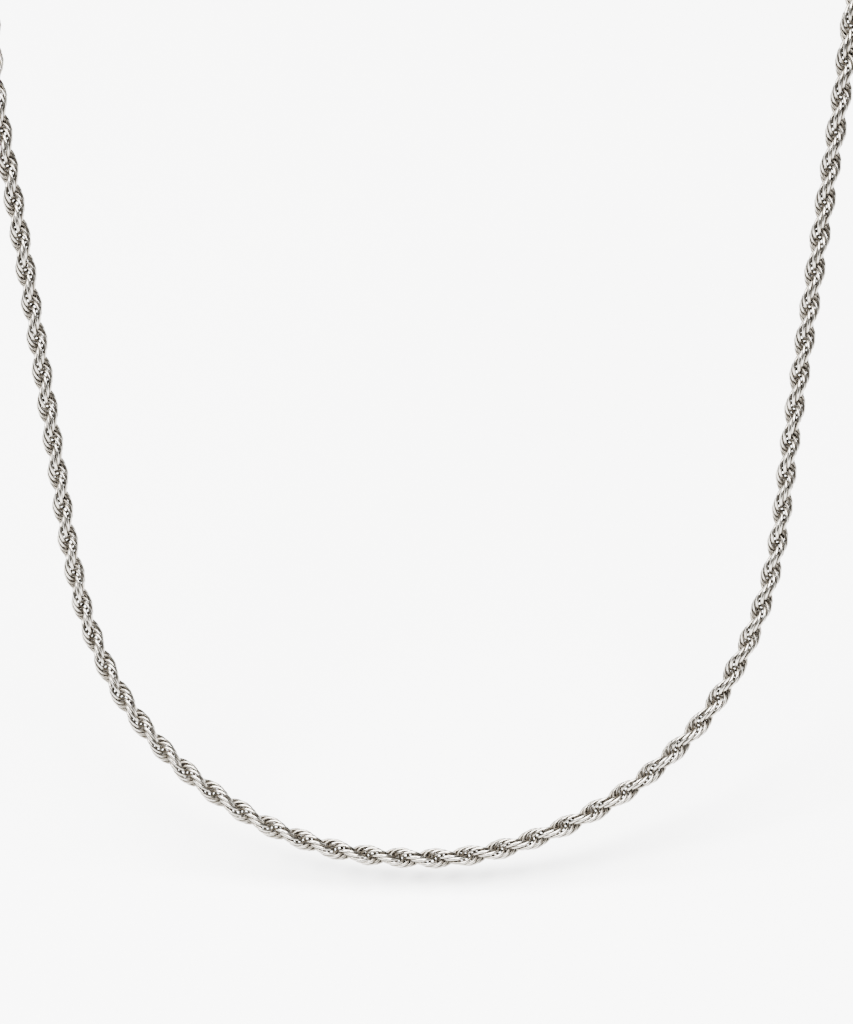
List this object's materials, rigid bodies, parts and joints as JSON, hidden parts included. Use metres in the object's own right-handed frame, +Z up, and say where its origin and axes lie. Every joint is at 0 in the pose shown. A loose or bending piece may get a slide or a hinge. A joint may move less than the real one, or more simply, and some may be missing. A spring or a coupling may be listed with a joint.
{
  "type": "rope chain necklace",
  "caption": "Twisted rope chain necklace in the open loop that it takes round a neck, closed at the nape by capped ends, jump rings and a claw clasp.",
  "frame": {"origin": "middle of the neck, level with the clasp at the nape", "axes": "+X to the viewer's right, +Y from the throat to the nape, +Z up"},
  "size_m": [0.1251, 0.1191, 0.1349],
  "materials": {
    "rope_silver": "polished silver, darkened in the recesses between the links",
    "plain_silver": "polished silver with fine scratches"
  },
  "bodies": {
    "root": {"rope_left": "rope_silver", "rope_right": "rope_silver", "end_cap_left": "plain_silver", "end_cap_right": "plain_silver", "jump_ring_left": "plain_silver", "jump_ring_right": "plain_silver", "clasp": "plain_silver"}
  },
  "joints": []
}
